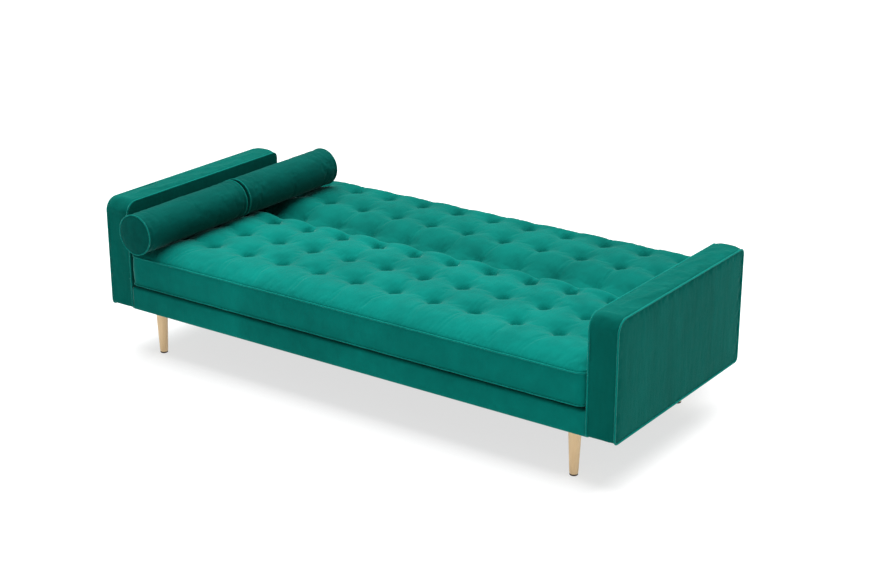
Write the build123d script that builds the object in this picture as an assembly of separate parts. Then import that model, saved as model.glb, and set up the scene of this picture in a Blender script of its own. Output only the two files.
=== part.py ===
from build123d import *
import math
import os

# Click-clack sofa bed, folded flat.  Millimetres; +X to the right seen from the front, +Y to the
# back, +Z up.  The origin is on the floor, at the centre of the outline.

# ---------------------------------------------------------------- driving dimensions
overall_width = 2120.0
overall_depth = 1170.0        # bolster's front end to the back's far edge
arm_thickness = 102.5
arm_top = 578.0
leg_height = 172.0
leg_top_diameter = 44.0
leg_foot_diameter = 29.0

bolster_overhang = 45.0       # bolster past the front of the arms
seat_lip = 8.0                # seat cushion past the front of the arms
fold_gap = 20.0               # between the seat and the flat back
seat_share = 0.5455           # seat's part of the bed's depth
seat_thickness = 144.0
back_thickness = 137.0

hinge_setback = 75.0          # hinge axis behind the back's front face
hinge_rise = 62.0             # hinge axis above the back's underside
hinge_pin_diameter = 12.0
arm_past_hinge = 125.0
back_corner_round = 80.0      # back's far corners, seen from above

button_diameter = 22.0
button_columns = 12
button_rows = 3               # on the seat, and again on the back
bolster_diameter = 150.0
piping_diameter = 5.0

# ---------------------------------------------------------------- clearances
soft_gap = 0.3                # between soft pieces that move apart
running_gap = 0.05            # radial, on hinge pins
sweep_gap = 3.0               # under the back's swinging edge
piping_proud = 1.5            # piping past the face that it edges

# ---------------------------------------------------------------- fabric, board and steel sizes
cover_thickness = 3.0
rail_thickness = 25.0
side_rail_thickness = 31.5
front_rail_height = 83.0
shadow_gap = 5.0
slat_width = 70.0
slat_thickness = 14.0
slat_count = 12
steel = 4.0
plate_gap = 2.0
glide_height = 6.0
edge_drop = 26.0              # top piping below a cushion's crown
corner_block_size = 90.0
hinge_set_in = 3.5            # bracket's outer face from the arm's inner face
leg_from_rail = 45.0
leg_from_arm_front = 69.0
rear_rail_from_arm = 40.0
leg_from_rear_rail = 34.0
rear_rail_drop = 4.0          # rear rail's top below the seat's underside

# ---------------------------------------------------------------- worked-out places
half_width = overall_width / 2
arm_inner = half_width - arm_thickness
arm_front = -overall_depth / 2 + bolster_overhang
seat_front = arm_front - seat_lip
bed_rear = overall_depth / 2
bed_depth = bed_rear - seat_front
seat_rear = seat_front + seat_share * bed_depth
back_front = seat_rear + fold_gap
hinge_y = back_front + hinge_setback
arm_rear = hinge_y + arm_past_hinge

base_bottom = leg_height + cover_thickness
front_rail_top = base_bottom + front_rail_height
seat_bottom = front_rail_top + cover_thickness + shadow_gap
seat_top = seat_bottom + seat_thickness
seat_edge_z = seat_top - edge_drop
back_bottom = seat_bottom + 2.0
back_top = back_bottom + back_thickness
hinge_z = back_bottom + hinge_rise

back_top_round = 40.0
back_bottom_round = 15.0


def corner_reach(across, up, radius):
    """Distance from the hinge axis to the far side of a rounded corner."""
    return math.hypot(across - radius, up - radius) + radius


sweep_radius = max(
    corner_reach(hinge_setback, back_top - hinge_z, back_top_round),
    corner_reach(hinge_setback, hinge_rise, back_bottom_round),
)
side_rail_top = hinge_z - sweep_radius - sweep_gap
deck_bottom = side_rail_top + slat_thickness

plate_outer = arm_inner - hinge_set_in          # hinge bracket's outer face
bracket_inner = plate_outer - steel
plate_face = bracket_inner - plate_gap          # moving plate's outer face
back_half = plate_face - steel                  # back's side, and the plate's inner face

leg_x = arm_inner - side_rail_thickness - leg_from_rail
leg_front_y = arm_front + leg_from_arm_front
rear_rail_y = arm_rear - rear_rail_from_arm
leg_rear_y = rear_rail_y - leg_from_rear_rail
front_rail_y = arm_front + 2 * cover_thickness
front_rail_back = front_rail_y + rail_thickness
rear_rail_top = seat_bottom - rear_rail_drop
end_column_share = 0.73                         # of a pitch, from the last two columns to the arms
button_pitch_x = 2 * arm_inner / (button_columns - 1 + end_column_share)


# ---------------------------------------------------------------- helpers
def block(x0, x1, y0, y1, z0, z1):
    """A box between two corners."""
    size = Box(abs(x1 - x0), abs(y1 - y0), abs(z1 - z0))
    return Pos((x0 + x1) / 2, (y0 + y1) / 2, (z0 + z1) / 2) * size


def rod(start, direction, length, radius):
    """A round bar from a point along a direction."""
    plane = Plane(origin=start, z_dir=direction)
    return extrude(plane * Circle(radius), length)


def tapered_rod(start, length, radius, end_radius):
    """A round upright that narrows from its start to its end."""
    centre = (start[0], start[1], start[2] + length / 2)
    return Pos(*centre) * Cone(radius, end_radius, length)


def side_sketch(x, sketch):
    """A sketch drawn in (y, z), laid on the plane at x, facing +X."""
    return Plane(origin=(x, 0, 0), x_dir=(0, 1, 0), z_dir=(1, 0, 0)) * sketch


def side_plate(x0, x1, sketch):
    """A flat plate between two x planes, with an outline drawn in (y, z)."""
    return extrude(side_sketch(min(x0, x1), sketch), abs(x1 - x0))


def rectangle(y0, y1, z0, z1):
    """A rectangle in the sketch plane."""
    return Pos((y0 + y1) / 2, (z0 + z1) / 2) * Rectangle(y1 - y0, z1 - z0)


def tube_along(path, diameter):
    """A round tube along a path of lines and arcs."""
    section = Plane(origin=path @ 0, z_dir=path % 0) * Circle(diameter / 2)
    return sweep(section, path=path)


def rounded_loop(x0, x1, y0, y1, z, radius):
    """A closed level loop with rounded corners, as a wire."""
    centre = Pos((x0 + x1) / 2, (y0 + y1) / 2, z)
    return (centre * RectangleRounded(x1 - x0, y1 - y0, radius)).face().outer_wire()


def group(pieces):
    """Several separate solids in one node."""
    return Compound(children=list(pieces))


def write(name, shape):
    """Write one node's file."""
    export_step(shape, f"parts/{name}.step")


sides = {"left": -1, "right": 1}


# ---------------------------------------------------------------- base frame
bolt_z = side_rail_top - 11.0
bolt_radius = 4.0
bolt_reach = 33.0
bolt_ys = [arm_front + 100.0, arm_front + 330.0, seat_rear - 50.0, rear_rail_y - 25.0]
block_top = bolt_z - 2 * bolt_radius - 2.0
bracket_y0 = hinge_y - 33.0
bracket_y1 = hinge_y + 33.0
bracket_z0 = base_bottom + 7.0
pocket_margin = 0.5
cleat_width = 22.0
cleat_height = 24.0
rest_pad_length = 40.0
rest_pad_width = 18.0
rest_pad_setback = 4.0
rest_pad_share = 0.6          # of the arms' inner faces, out to the end pads


def base_rail(y0, z1):
    """A board across the whole base."""
    return block(-arm_inner, arm_inner, y0, y0 + rail_thickness, base_bottom, z1)


def rail_cover(outer_y, inward, z1):
    """Fabric stretched over a cross rail's outer face, turned in above and below."""
    near = outer_y
    face = outer_y + inward * cover_thickness
    far = face + inward * rail_thickness
    half = arm_inner
    skin = block(-half, half, near, face, leg_height, z1 + cover_thickness)
    top = block(-half, half, face, far, z1, z1 + cover_thickness)
    bottom = block(-half, half, face, far, leg_height, base_bottom)
    return skin + top + bottom


def arm_bolt(side, y, extra=0.0):
    """One bolt through the side rail into the arm, or the hole for it."""
    head_x = side * (arm_inner - side_rail_thickness)
    shank = rod((head_x, y, bolt_z), (side, 0, 0), side_rail_thickness + bolt_reach, bolt_radius + extra)
    head = rod((head_x, y, bolt_z), (-side, 0, 0), 5.0, 2 * bolt_radius)
    return shank if extra else shank + head


def side_rail(side):
    """A board under the arm, let in for the hinge bracket."""
    outer = side * arm_inner
    inner = side * (arm_inner - side_rail_thickness)
    board = block(inner, outer, front_rail_back, rear_rail_y, base_bottom, side_rail_top)
    pocket = block(side * bracket_inner, outer, bracket_y0 - pocket_margin, bracket_y1 + pocket_margin,
                   bracket_z0 - pocket_margin, side_rail_top)
    board -= pocket
    for y in bolt_ys:
        board -= arm_bolt(side, y, running_gap)
    for start in bracket_screw_places(side):
        board -= rod(start, (-side, 0, 0), screw_length, screw_radius)
    return board


def seat_slats():
    """Slats from the front cleat to the middle rail."""
    pitch = 2 * (arm_inner - side_rail_thickness) / slat_count
    slats = []
    for i in range(slat_count):
        x = (i - (slat_count - 1) / 2) * pitch
        slats.append(block(x - slat_width / 2, x + slat_width / 2, front_rail_back, seat_rear,
                           side_rail_top, deck_bottom))
    return group(slats)


def rest_pads():
    """Felt pads on the rear rail, which the flat back rests on."""
    z = rear_rail_top + cover_thickness
    y = rear_rail_y + rest_pad_setback
    half = rest_pad_length / 2
    xs = (-rest_pad_share * arm_inner, 0.0, rest_pad_share * arm_inner)
    return group(block(x - half, x + half, y, y + rest_pad_width, z, back_bottom) for x in xs)


def corner_block(side, leg_y, outer_y, inner_y):
    """A block in the corner of the base, bored for the leg's bolt."""
    outer = side * (arm_inner - side_rail_thickness)
    inner = side * (arm_inner - side_rail_thickness - corner_block_size)
    wood = block(inner, outer, outer_y, inner_y, base_bottom, block_top)
    return wood - rod((side * leg_x, leg_y, base_bottom), (0, 0, 1), leg_bolt_rise, leg_bolt_radius)


# ---------------------------------------------------------------- legs
leg_bolt_radius = 4.0
leg_bolt_rise = 33.0
leg_bolt_depth = 30.0
leg_plate_size = 62.0
cloth_thickness = 1.2
cut_out_margin = 1.0
leg_places = {
    "front_left": (-leg_x, leg_front_y),
    "front_right": (leg_x, leg_front_y),
    "rear_left": (-leg_x, leg_rear_y),
    "rear_right": (leg_x, leg_rear_y),
}


def leg(x, y):
    """A turned, tapered wooden leg, bored for its bolt."""
    wood = tapered_rod((x, y, glide_height), leg_height - glide_height,
                       leg_foot_diameter / 2, leg_top_diameter / 2)
    return wood - rod((x, y, leg_height), (0, 0, -1), leg_bolt_depth, leg_bolt_radius)


def glide(x, y):
    """A round plastic foot under the leg."""
    radius = leg_foot_diameter / 2 - 0.5
    foot = rod((x, y, 0), (0, 0, 1), glide_height, radius)
    return chamfer(foot.edges().group_by(Axis.Z)[0], 1.5)


def leg_plate(x, y):
    """A square steel plate between the leg and the corner block."""
    half = leg_plate_size / 2
    plate = block(x - half, x + half, y - half, y + half, leg_height, base_bottom)
    return plate - rod((x, y, leg_height), (0, 0, 1), cover_thickness, leg_bolt_radius)


def leg_bolt(x, y):
    """The bolt that joins the leg to its corner block."""
    return rod((x, y, leg_height - leg_bolt_depth), (0, 0, 1),
               leg_bolt_depth + cover_thickness + leg_bolt_rise, leg_bolt_radius)


def dust_cover():
    """Thin cloth under the base, cut out round the leg plates."""
    underside = base_bottom - cloth_thickness
    cloth = block(-arm_inner, arm_inner, front_rail_back, rear_rail_y, underside, base_bottom)
    half = leg_plate_size / 2 + cut_out_margin
    for x, y in leg_places.values():
        cloth -= block(x - half, x + half, y - half, y + half, underside, base_bottom)
    return cloth


# ---------------------------------------------------------------- arms
arm_round = 45.0
arm_rear_round = 20.0
arm_foot_round = 16.0
arm_padding = 12.0
arm_thick_padding = 20.0      # at the arm's front and top
arm_rail = 60.0
arm_bottom = leg_height


def arm_outline(inset):
    """The arm's side view, in (y, z), drawn in by an inset."""
    y0 = arm_front + inset
    y1 = arm_rear - inset
    z0 = arm_bottom + inset
    z1 = arm_top - inset
    top = arm_round - inset
    rear = arm_rear_round - inset
    foot = arm_foot_round - inset
    outline = [
        Line((y0, z0 + foot), (y0, z1 - top)),
        RadiusArc((y0, z1 - top), (y0 + top, z1), top),
        Line((y0 + top, z1), (y1 - rear, z1)),
        RadiusArc((y1 - rear, z1), (y1, z1 - rear), rear),
        Line((y1, z1 - rear), (y1, z0 + foot)),
        RadiusArc((y1, z0 + foot), (y1 - foot, z0), foot),
        Line((y1 - foot, z0), (y0 + foot, z0)),
        RadiusArc((y0 + foot, z0), (y0, z0 + foot), foot),
    ]
    return Wire(outline)


def arm_piping(side):
    """Piping round the inner and the outer edge of the arm."""
    inset = piping_diameter / 2
    loops = []
    for x in (arm_inner + inset, half_width - inset):
        plane = Plane(origin=(side * x, 0, 0), x_dir=(0, 1, 0), z_dir=(1, 0, 0))
        path = plane * arm_outline(inset)
        loops.append(tube_along(path, piping_diameter))
    return loops


def arm_box(side):
    """The space that the arm's wooden frame fills."""
    pad = arm_padding
    return block(side * (arm_inner + pad), side * (half_width - pad), arm_front + arm_thick_padding,
                 arm_rear - pad, arm_bottom + pad, arm_top - arm_thick_padding)


def arm_frame(side):
    """A wooden ring that stiffens the arm."""
    ring_width = arm_padding + arm_rail
    thick_width = arm_thick_padding + arm_rail
    opening = block(side * arm_inner, side * half_width, arm_front + thick_width,
                    arm_rear - ring_width, arm_bottom + ring_width, arm_top - thick_width)
    ring = arm_box(side) - opening
    for y in bolt_ys:
        ring -= arm_bolt(side, y, running_gap)
    return ring


def arm_cover(side, piping):
    """Foam and fabric round the arm's frame."""
    skin = piping_proud
    inner = side * (arm_inner + soft_gap)
    outer = side * (half_width - skin)
    face = make_face(arm_outline(skin))
    shell = side_plate(inner, outer, face) - arm_box(side)
    for loop in piping:
        shell -= loop
    for y in bolt_ys:
        shell -= arm_bolt(side, y, running_gap)
    return shell


# ---------------------------------------------------------------- seat
seat_half = arm_inner - soft_gap
cushion_round = 26.0
crown_round = 22.0
pocket_depth = 34.0
pocket_margin_round_button = 4.0
deck_setback = 50.0
deck_rear_gap = 8.0
seat_first_row_share = 0.345
seat_row_share = 0.275
back_first_row_share = 0.162
back_row_share = 0.343
button_height = 6.0


def button_places(first_y, pitch_y):
    """The grid of buttons, as (x, y)."""
    places = []
    for row in range(button_rows):
        for column in range(button_columns):
            x = (column - (button_columns - 1) / 2) * button_pitch_x
            places.append((x, first_y + row * pitch_y))
    return places


seat_depth = seat_rear - seat_front
back_depth = bed_rear - back_front
seat_button_places = button_places(seat_front + seat_first_row_share * seat_depth,
                                   seat_row_share * seat_depth)
back_button_places = button_places(back_front + back_first_row_share * back_depth,
                                   back_row_share * back_depth)


def buttons(places, top):
    """Covered buttons, each at the bottom of its dimple."""
    seat = top - pocket_depth
    return group(rod((x, y, seat), (0, 0, 1), button_height, button_diameter / 2) for x, y in places)


def button_pockets(places, top):
    """The dimples that the buttons are pulled down into."""
    seat = top - pocket_depth
    radius = button_diameter / 2 + pocket_margin_round_button
    return [rod((x, y, seat), (0, 0, 1), pocket_depth, radius) for x, y in places]


def seat_piping():
    """Two loops of piping, at the top and the bottom of the cushion's border."""
    inset = piping_diameter / 2
    loops = []
    for z in (seat_bottom + inset + 1.0, seat_edge_z):
        wire = rounded_loop(-seat_half + inset, seat_half - inset, seat_front + inset,
                            seat_rear - inset, z, cushion_round)
        loops.append(tube_along(wire, piping_diameter))
    return loops


def seat_cushion(piping):
    """The seat's padding: a bordered cushion with a crowned top."""
    skin = piping_proud
    plan = RectangleRounded(2 * (seat_half - skin), seat_depth - 2 * skin, cushion_round)
    pad = extrude(Pos(0, (seat_front + seat_rear) / 2, seat_bottom) * plan, seat_thickness)
    pad = fillet(pad.edges().group_by(Axis.Z)[-1], crown_round)
    pad = pad.cut(*piping)
    return pad.cut(*button_pockets(seat_button_places, seat_top))


def seat_deck():
    """The board that the seat cushion lies on, kept back to leave a shadow line."""
    return block(-seat_half, seat_half, seat_front + deck_setback, seat_rear - deck_rear_gap,
                 deck_bottom, seat_bottom)


# ---------------------------------------------------------------- back
frame_height = 32.0
back_rail = 40.0
frame_inset = 6.0
frame_corner_round = back_corner_round + 10.0
far_edge_round = 24.0
underside_chamfer = 4.0
frame_bottom = back_bottom + cloth_thickness
frame_top = back_bottom + frame_height
frame_front = back_front + frame_inset + back_bottom_round
frame_rear = bed_rear - frame_inset


def back_outline(inset):
    """The back's end view in (y, z): a slab with its front edge rounded to clear the seat."""
    y0 = back_front
    y1 = bed_rear - inset
    z0 = back_bottom
    z1 = back_top
    top = back_top_round
    low = back_bottom_round
    far = far_edge_round
    cut = underside_chamfer
    outline = [
        Line((y0, z0 + low), (y0, z1 - top)),
        RadiusArc((y0, z1 - top), (y0 + top, z1), top),
        Line((y0 + top, z1), (y1 - far, z1)),
        RadiusArc((y1 - far, z1), (y1, z1 - far), far),
        Line((y1, z1 - far), (y1, z0 + cut)),
        Line((y1, z0 + cut), (y1 - cut, z0)),
        Line((y1 - cut, z0), (y0 + low, z0)),
        RadiusArc((y0 + low, z0), (y0, z0 + low), low),
    ]
    return make_face(Wire(outline))


def back_plan(half, front, rear, z0, z1, radius):
    """A slab of the back's plan, with its two far corners rounded."""
    slab = block(-half, half, front, rear, z0, z1)
    return fillet(slab.edges().filter_by(Axis.Z).group_by(Axis.Y)[-1], radius)


def back_frame_space(z0, z1):
    """The space inside the frame's outline."""
    return back_plan(back_half, frame_front, frame_rear, z0, z1, frame_corner_round)


def back_piping():
    """Piping along both ends and the far edge of the back."""
    inset = piping_diameter / 2
    half = back_half - inset
    y0 = back_front + back_top_round
    y1 = bed_rear - inset
    z = back_top - edge_drop
    corners = [(-half, y0, z), (-half, y1, z), (half, y1, z), (half, y0, z)]
    return tube_along(FilletPolyline(*corners, radius=back_corner_round - inset), piping_diameter)


def back_cushion(piping):
    """The back's padding, drawn down over its frame."""
    half = back_half - piping_proud
    pad = side_plate(-half, half, back_outline(piping_proud))
    pad &= back_plan(half, back_front, bed_rear - piping_proud, back_bottom, back_top,
                     back_corner_round - piping_proud)
    pad -= back_frame_space(back_bottom, frame_top)
    pad -= piping
    pad = pad.cut(*button_pockets(back_button_places, back_top))
    for side in sides.values():
        pad -= rod((side * back_half, hinge_y, hinge_z), (-side, 0, 0), pin_pocket_depth, pin_pocket_radius)
    return pad


def back_side_rail(side):
    """The end rail of the back's frame, which the hinge plate is screwed to."""
    inner = side * (back_half - back_rail)
    rail = block(inner, side * back_half, frame_front, frame_rear, frame_bottom, frame_top)
    rail &= back_frame_space(frame_bottom, frame_top)
    for start in plate_screw_places(side):
        rail -= rod(start, (-side, 0, 0), screw_length, screw_radius)
    return rail


def back_cross_rail(y0):
    """A long rail of the back's frame."""
    half = back_half - back_rail
    rail = block(-half, half, y0, y0 + back_rail, frame_bottom, frame_top)
    return rail & back_frame_space(frame_bottom, frame_top)


def back_slats():
    """Short slats across the back's frame, housed between its long rails."""
    pitch = 2 * (back_half - back_rail) / slat_count
    y0 = frame_front + back_rail
    y1 = frame_rear - back_rail
    slats = []
    for i in range(slat_count):
        x = (i - (slat_count - 1) / 2) * pitch
        slats.append(block(x - slat_width / 2, x + slat_width / 2, y0, y1,
                           frame_top - slat_thickness, frame_top))
    return group(slats)


# ---------------------------------------------------------------- hinges
pin_radius = hinge_pin_diameter / 2
pin_head_radius = pin_radius + 4.0
pin_pocket_radius = pin_head_radius + 3.0
pin_pocket_depth = 6.0
disc_radius = 42.0
notch_floor = 33.0
notch_half_angle = 8.0
pawl_angle = 225.0
stops = [(0.0, 0.0), (38.0, 38.0), (74.0, 82.0)]   # fold angles that each notch covers
pawl_pin_radius = 3.0
pawl_swing = 10.0
screw_radius = 2.5
screw_length = 24.0
screw_head_radius = 5.0
screw_head_height = 2.0


def around_hinge(radius, angle):
    """A point in (y, z) at a radius and an angle from the hinge axis."""
    turn = math.radians(angle)
    return (hinge_y + radius * math.cos(turn), hinge_z + radius * math.sin(turn))


pawl_pivot = around_hinge(66.0, 262.0)


def bracket_screw_places(side):
    """Where the bracket's screws meet it, on its outer face."""
    x = side * plate_outer
    z = bracket_z0 + 20.0
    return [(x, hinge_y - 18.0, z), (x, hinge_y + 18.0, z)]


def plate_screw_places(side):
    """Where the moving plate's screws meet it, on its outer face."""
    x = side * plate_face
    z = (frame_bottom + frame_top) / 2
    return [(x, hinge_y + 75.0, z), (x, hinge_y + 125.0, z), (x, hinge_y + 175.0, z)]


def screw(start, side):
    """A pan-head screw driven in towards the middle."""
    shank = rod(start, (-side, 0, 0), screw_length, screw_radius)
    return shank + rod(start, (side, 0, 0), screw_head_height, screw_head_radius)


def hinge_bracket(side):
    """The fixed plate that carries the hinge pin and the pawl."""
    foot = rectangle(bracket_y0, bracket_y1, bracket_z0, hinge_z)
    outline = foot + Pos(hinge_y, hinge_z) * Circle((bracket_y1 - bracket_y0) / 2)
    outline -= Pos(hinge_y, hinge_z) * Circle(pin_radius)
    outline -= Pos(*pawl_pivot) * Circle(pawl_pin_radius)
    plate = side_plate(side * bracket_inner, side * plate_outer, outline)
    for start in bracket_screw_places(side):
        plate -= rod(start, (-side, 0, 0), steel, screw_radius)
    return plate


def notch(first, last):
    """A gap in the ratchet disc, wide enough for the pawl over a range of fold angles."""
    a0 = pawl_angle - last - notch_half_angle
    a1 = pawl_angle - first + notch_half_angle
    far = disc_radius + 6.0
    corners = [around_hinge(notch_floor, a0), around_hinge(far, a0)]
    if a1 - a0 > 20:
        corners.append(around_hinge(far, (a0 + a1) / 2))
    corners += [around_hinge(far, a1), around_hinge(notch_floor, a1)]
    return make_face(Polyline(*corners, close=True))


def hinge_plate(side):
    """The moving plate: a ratchet disc on the pin, with an arm along the back's frame."""
    outline = Pos(hinge_y, hinge_z) * Circle(disc_radius)
    for first, last in stops:
        outline -= notch(first, last)
    arm_z0 = frame_bottom + 2.0
    outline += rectangle(hinge_y + 10.0, hinge_y + 195.0, arm_z0, frame_top - 2.0)
    outline -= Pos(hinge_y, hinge_z) * Circle(pin_radius + running_gap)
    plate = side_plate(side * back_half, side * plate_face, outline)
    for start in plate_screw_places(side):
        plate -= rod(start, (-side, 0, 0), steel, screw_radius)
    return plate


def hinge_pin(side):
    """The stepped pin, headed at both ends."""
    inner = side * (back_half - 0.5)
    outer = side * plate_outer
    axis = (hinge_y, hinge_z)
    shank = rod((inner, *axis), (side, 0, 0), abs(outer - inner), pin_radius)
    inner_head = rod((inner, *axis), (-side, 0, 0), 4.0, pin_head_radius)
    outer_head = rod((outer, *axis), (side, 0, 0), 2.5, pin_head_radius)
    return shank + inner_head + outer_head


def hinge_washer(side):
    """The plastic washer between the two plates."""
    x0 = side * (plate_face + running_gap)
    ring = Circle(15.0) - Circle(pin_radius + running_gap)
    return side_plate(x0, side * (bracket_inner - running_gap), Pos(hinge_y, hinge_z) * ring)


def pawl(side):
    """The hooked pawl that drops into the disc's notches, shown parked."""
    tip = around_hinge(disc_radius + 2.5, pawl_angle)
    elbow = around_hinge(disc_radius + 14.0, pawl_angle)
    hook = Polyline(pawl_pivot, elbow)
    arm = trace(hook, 10.0)
    tooth = trace(Polyline(elbow, tip), 5.0)
    outline = arm + tooth + Pos(*pawl_pivot) * Circle(8.0) + Pos(*elbow) * Circle(5.0)
    outline -= Pos(*pawl_pivot) * Circle(pawl_pin_radius + running_gap)
    return side_plate(side * (back_half + 0.5), side * (plate_face - 0.5), outline)


def pawl_pin(side):
    """The pin that the pawl turns on, riveted into the bracket."""
    inner = side * (back_half + 0.5)
    return rod((inner, *pawl_pivot), (side, 0, 0), steel + plate_gap + steel, pawl_pin_radius)


def pawl_spring(side):
    """The small wire spring round the pawl's pin."""
    wire = 0.7
    x = side * (plate_face + plate_gap / 2)
    coil = Pos(x, *pawl_pivot) * Rot(0, 90, 0) * Torus(pawl_pin_radius + 1.5, wire)
    tail = rod((x, pawl_pivot[0] + pawl_pin_radius + 1.6, pawl_pivot[1]), (0, 0, -1), 14.0, wire - 0.1)
    return coil + tail


# ---------------------------------------------------------------- bolsters
bolster_radius = bolster_diameter / 2
bolster_x = -(arm_inner - 1.0 - bolster_radius)
bolster_z = max(seat_top, back_top) + soft_gap + bolster_radius
bolster_gap = 18.0
bolster_rear_setback = 105.0
bolsters_end = bed_rear - bolster_rear_setback
bolster_length = (bolsters_end + overall_depth / 2 - bolster_gap) / 2
bolster_starts = {
    "front": -overall_depth / 2,
    "rear": -overall_depth / 2 + bolster_length + bolster_gap,
}


def bolster_piping(y0):
    """A ring of piping round each end of a bolster."""
    wire = piping_diameter / 2
    ring = Rot(90, 0, 0) * Torus(bolster_radius - wire, wire)
    return [Pos(bolster_x, y, bolster_z) * ring for y in (y0 + wire, y0 + bolster_length - wire)]


def bolster(y0, piping):
    """A round cushion with flat ends."""
    skin = piping_proud
    roll = rod((bolster_x, y0 + skin, bolster_z), (0, 1, 0), bolster_length - 2 * skin, bolster_radius - skin)
    return roll.cut(*piping)


# ---------------------------------------------------------------- assembly
def write_base():
    """Rails, blocks, slats, covers and legs."""
    write("base_front_rail", base_rail(front_rail_y, front_rail_top))
    write("base_rear_rail", base_rail(rear_rail_y, rear_rail_top))
    middle = arm_inner - side_rail_thickness
    mid_rail = block(-middle, middle, seat_rear - rail_thickness, seat_rear, base_bottom, side_rail_top)
    write("base_middle_rail", mid_rail)
    cleat = middle - corner_block_size
    write("slat_cleat", block(-cleat, cleat, front_rail_back, front_rail_back + cleat_width,
                              side_rail_top - cleat_height, side_rail_top))
    write("base_front_cover", rail_cover(arm_front + cover_thickness, 1, front_rail_top))
    write("base_rear_cover", rail_cover(rear_rail_y + rail_thickness + cover_thickness, -1, rear_rail_top))
    write("seat_slats", seat_slats())
    write("seat_deck", seat_deck())
    write("dust_cover", dust_cover())
    write("rest_pads", rest_pads())
    blocks = []
    for side in sides.values():
        blocks.append(corner_block(side, leg_front_y, front_rail_back, front_rail_back + corner_block_size))
        blocks.append(corner_block(side, leg_rear_y, rear_rail_y, rear_rail_y - corner_block_size))
    write("corner_blocks", group(blocks))


def write_legs():
    """Legs, with their plates, bolts and glides."""
    places = leg_places.values()
    for name, place in leg_places.items():
        write(f"leg_{name}", leg(*place))
    write("leg_plates", group(leg_plate(*place) for place in places))
    write("leg_bolts", group(leg_bolt(*place) for place in places))
    write("leg_glides", group(glide(*place) for place in places))


def write_arms():
    """Both arms and the bolts that hold them."""
    for name, side in sides.items():
        write(f"base_side_rail_{name}", side_rail(side))
        piping = arm_piping(side)
        write(f"arm_frame_{name}", arm_frame(side))
        write(f"arm_cover_{name}", arm_cover(side, piping))
        write(f"arm_piping_{name}", group(piping))
    write("arm_bolts", group(arm_bolt(side, y) for side in sides.values() for y in bolt_ys))


def write_seat():
    """The seat cushion and its trim."""
    piping = seat_piping()
    write("seat_cushion", seat_cushion(piping))
    write("seat_piping", group(piping))
    write("seat_buttons", buttons(seat_button_places, seat_top))


def write_back():
    """The folding back."""
    piping = back_piping()
    write("back_cushion", back_cushion(piping))
    write("back_piping", piping)
    write("back_buttons", buttons(back_button_places, back_top))
    write("back_front_rail", back_cross_rail(frame_front))
    write("back_rear_rail", back_cross_rail(frame_rear - back_rail))
    write("back_slats", back_slats())
    write("back_lining", back_frame_space(back_bottom, frame_bottom))
    for name, side in sides.items():
        write(f"back_side_rail_{name}", back_side_rail(side))


def write_hinges():
    """A ratchet hinge at each end of the fold line."""
    base_screws = []
    back_screws = []
    for name, side in sides.items():
        write(f"hinge_bracket_{name}", hinge_bracket(side))
        write(f"hinge_plate_{name}", hinge_plate(side))
        write(f"hinge_pin_{name}", hinge_pin(side))
        write(f"pawl_{name}", pawl(side))
        base_screws += [screw(start, side) for start in bracket_screw_places(side)]
        back_screws += [screw(start, side) for start in plate_screw_places(side)]
    write("hinge_washers", group(hinge_washer(side) for side in sides.values()))
    write("pawl_pins", group(pawl_pin(side) for side in sides.values()))
    write("pawl_springs", group(pawl_spring(side) for side in sides.values()))
    write("bracket_screws", group(base_screws))
    write("plate_screws", group(back_screws))


def write_bolsters():
    """Two loose bolsters, end to end beside the left arm."""
    for name, y0 in bolster_starts.items():
        piping = bolster_piping(y0)
        write(f"bolster_{name}", bolster(y0, piping))
        write(f"bolster_piping_{name}", group(piping))


os.makedirs("parts", exist_ok=True)
write_base()
write_legs()
write_arms()
write_seat()
write_back()
write_hinges()
write_bolsters()
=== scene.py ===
import math

import bpy
import numpy as np
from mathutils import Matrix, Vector


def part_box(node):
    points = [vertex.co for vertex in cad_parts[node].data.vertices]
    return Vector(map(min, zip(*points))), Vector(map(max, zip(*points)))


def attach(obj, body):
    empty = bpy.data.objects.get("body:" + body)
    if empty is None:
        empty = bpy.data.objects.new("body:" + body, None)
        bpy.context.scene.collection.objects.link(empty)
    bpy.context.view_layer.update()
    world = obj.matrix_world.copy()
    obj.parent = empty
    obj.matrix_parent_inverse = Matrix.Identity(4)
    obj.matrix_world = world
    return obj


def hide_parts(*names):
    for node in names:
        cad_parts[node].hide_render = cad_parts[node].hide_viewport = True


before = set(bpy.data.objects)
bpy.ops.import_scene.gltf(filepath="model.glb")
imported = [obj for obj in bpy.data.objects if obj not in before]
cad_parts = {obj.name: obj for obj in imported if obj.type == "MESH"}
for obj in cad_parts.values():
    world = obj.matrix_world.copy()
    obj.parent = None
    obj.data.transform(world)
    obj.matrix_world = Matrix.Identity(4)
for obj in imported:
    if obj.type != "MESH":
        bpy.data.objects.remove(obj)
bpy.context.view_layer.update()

scene = bpy.context.scene

# ------------------------------------------------------------------ camera
# The sofa bed is seen from above its front right corner, with a long lens.
camera_data = bpy.data.cameras.new("camera")
camera_data.lens = 73.25
camera_data.sensor_width = 36.0
camera_data.sensor_fit = "HORIZONTAL"
camera_data.clip_end = 200.0
camera = bpy.data.objects.new("camera", camera_data)
camera.location = (3.4351, -4.8207, 2.4789)
camera.rotation_euler = (math.radians(69.72), math.radians(0.05), math.radians(35.386))
scene.collection.objects.link(camera)
scene.camera = camera

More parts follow.
